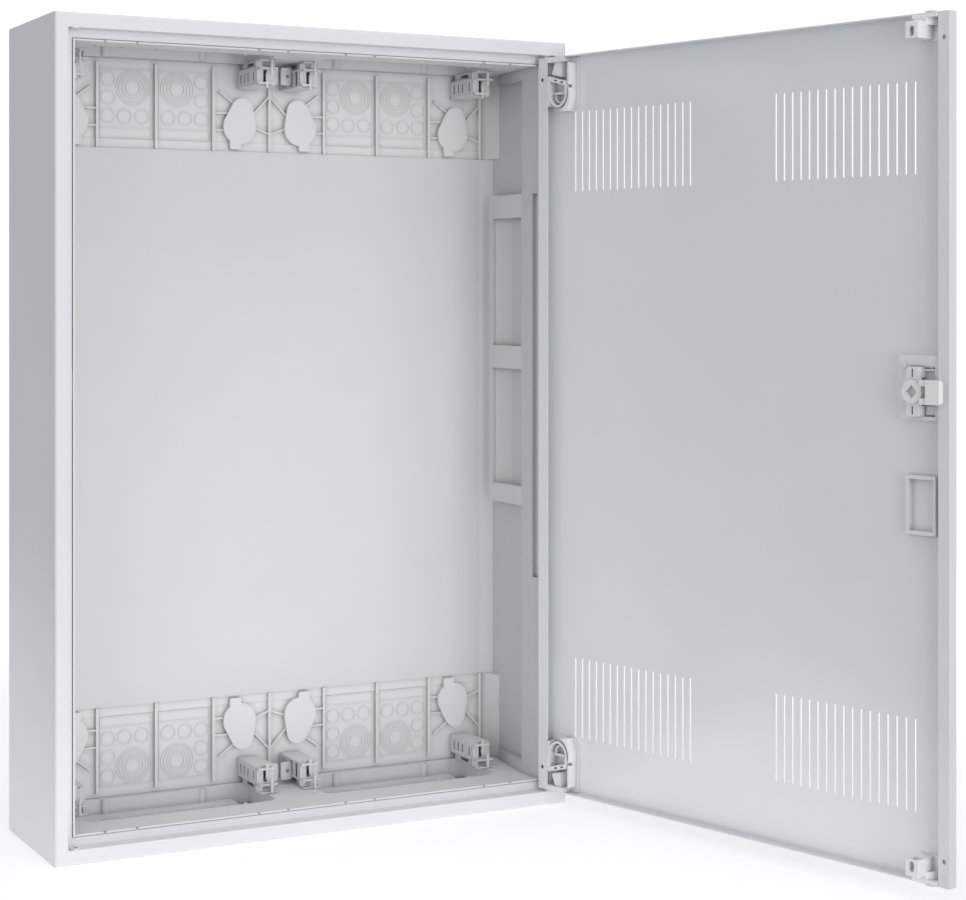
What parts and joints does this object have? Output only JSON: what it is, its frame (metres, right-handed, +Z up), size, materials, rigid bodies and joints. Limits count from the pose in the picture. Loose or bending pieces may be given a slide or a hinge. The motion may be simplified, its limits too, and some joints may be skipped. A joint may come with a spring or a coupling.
{
  "type": "distribution board cabinet",
  "caption": "Wall-mounted sheet-steel cabinet for circuit breakers, with a plastic liner, rail brackets and a hinged vented door with a quarter-turn latch.",
  "frame": {"origin": "centre of the four wall-fixing holes, on the back plane of the cabinet", "axes": "+X to the right seen from the front, +Y into the wall, +Z up"},
  "size_m": [0.6619, 0.6525, 0.8],
  "materials": {
    "body_paint": "fine textured powder coat",
    "door_paint": "smooth satin powder coat",
    "entry_paint": "fine textured powder coat",
    "liner_panel": "smooth moulded",
    "liner_band": "smooth moulded",
    "liner_end": "smooth moulded",
    "liner_side": "smooth moulded",
    "liner_guide": "smooth moulded",
    "rim_trim": "smooth moulded",
    "bush_plastic": "smooth moulded",
    "bracket_plastic": "smooth moulded",
    "clip_plastic": "smooth moulded",
    "plug_plastic": "smooth moulded",
    "hinge_plastic": "smooth moulded",
    "cover_plastic": "smooth moulded",
    "corner_plastic": "smooth moulded",
    "latch_plastic": "smooth moulded",
    "spindle_plastic": "smooth moulded",
    "bolt_plastic": "smooth moulded",
    "blank_plastic": "smooth moulded",
    "pin_steel": "drawn steel",
    "zinc_screw": "zinc plated"
  },
  "bodies": {
    "cabinet": {"cabinet_shell": "body_paint", "rear_wall": "body_paint", "top_entry_plates": "entry_paint", "bottom_entry_plates": "entry_paint", "entry_plate_screws": "zinc_screw", "liner_back_panel": "liner_panel", "liner_band_top": "liner_band", "liner_band_bottom": "liner_band", "liner_ceiling": "liner_end", "liner_floor": "liner_end", "liner_left": "liner_side", "liner_right": "liner_side", "cable_guide_left": "liner_guide", "cable_guide_right": "liner_guide", "rim_frame": "rim_trim", "hinge_bushes": "bush_plastic", "rail_bracket_top_left": "bracket_plastic", "rail_clip_top_left": "clip_plastic", "rail_bracket_top_mid_left": "bracket_plastic", "rail_clip_top_mid_left": "clip_plastic", "rail_bracket_top_mid_right": "bracket_plastic", "rail_clip_top_mid_right": "clip_plastic", "rail_bracket_top_right": "bracket_plastic", "rail_clip_top_right": "clip_plastic", "rail_bracket_bottom_left": "bracket_plastic", "rail_clip_bottom_left": "clip_plastic", "rail_bracket_bottom_mid_left": "bracket_plastic", "rail_clip_bottom_mid_left": "clip_plastic", "rail_bracket_bottom_mid_right": "bracket_plastic", "rail_clip_bottom_mid_right": "clip_plastic", "rail_bracket_bottom_right": "bracket_plastic", "rail_clip_bottom_right": "clip_plastic"},
    "door": {"door_panel": "door_paint", "lip_plugs": "plug_plastic", "hinge_block_upper": "hinge_plastic", "hinge_block_lower": "hinge_plastic", "hinge_cover_upper": "cover_plastic", "hinge_cover_lower": "cover_plastic", "hinge_pin_upper": "pin_steel", "hinge_pin_lower": "pin_steel", "corner_block_upper": "corner_plastic", "corner_block_lower": "corner_plastic", "latch_base": "latch_plastic", "latch_bridge": "latch_plastic", "blank_cover": "blank_plastic"},
    "spindle": {"latch_spindle": "spindle_plastic"},
    "bolt": {"latch_bolt": "bolt_plastic"}
  },
  "joints": [
    {"name": "door_hinge", "type": "hinge", "parent": "cabinet", "child": "door", "pos_m": [0.254, -0.1545, 0], "axis": [0, 0, 1], "range_deg": [-104.47, 0]},
    {"name": "spindle_turn", "type": "hinge", "parent": "door", "child": "spindle", "pos_m": [0.36858, -0.61652, 0.0495], "axis": [-0.9683, -0.2499, 0], "range_deg": [0, 90]},
    {"name": "bolt_slide", "type": "slide", "parent": "door", "child": "bolt", "axis": [-0.2499, 0.9683, 0], "range_m": [0, 0.006]}
  ],
  "couplings": [
    {"joint": "spindle_turn", "follows": "bolt_slide", "rad_per_m": 261.8}
  ]
}
